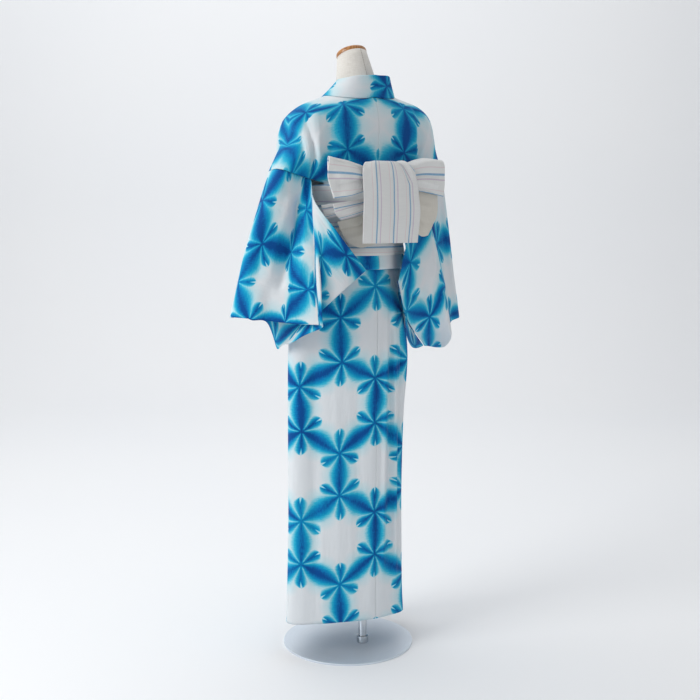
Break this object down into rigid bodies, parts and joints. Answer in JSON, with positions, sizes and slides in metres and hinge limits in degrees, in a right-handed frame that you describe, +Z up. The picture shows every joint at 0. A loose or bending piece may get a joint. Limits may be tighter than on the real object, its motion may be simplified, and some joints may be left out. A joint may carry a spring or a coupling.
{
  "type": "cotton yukata robe on a dress form stand",
  "caption": "Blue and white snow-flower dyed cotton yukata robe with a striped obi tied in a bow, worn by a limbless linen dress form on a steel pole and round base.",
  "frame": {"origin": "floor level on the axis of the pole, at the underside of the base plate", "axes": "+Z up; the wearer faces -Y, so the back of the robe and its bow face +Y and the wearer's left is +X"},
  "size_m": [0.6926, 0.336, 1.5213],
  "materials": {
    "dyed_cotton": "blue and white tie-dyed cotton",
    "obi_weave": "off-white slubby weave with blue and pale pink stripes",
    "obi_reverse": "plain cream weave",
    "form_linen": "natural linen cover",
    "cap_wood": "light brown, lacquered",
    "pole_chrome": "polished",
    "brushed_steel": "brushed"
  },
  "bodies": {
    "root": {"body_left": "dyed_cotton", "body_right": "dyed_cotton", "okumi_left": "dyed_cotton", "okumi_right": "dyed_cotton", "collar": "dyed_cotton", "sleeve_left": "dyed_cotton", "sleeve_right": "dyed_cotton", "obi_wrap": "obi_weave", "obi_knot": "obi_weave", "bow_wing_left": "obi_weave", "bow_wing_right": "obi_weave", "bow_wing_left_lower": "obi_weave", "bow_lobe_left": "obi_reverse", "bow_lobe_right": "obi_reverse", "obi_tail": "obi_weave", "obi_tail_end": "obi_weave", "form_torso": "form_linen", "neck_cap": "cap_wood", "pole": "pole_chrome", "pole_ferrule": "pole_chrome", "base_plate": "brushed_steel"}
  },
  "joints": []
}
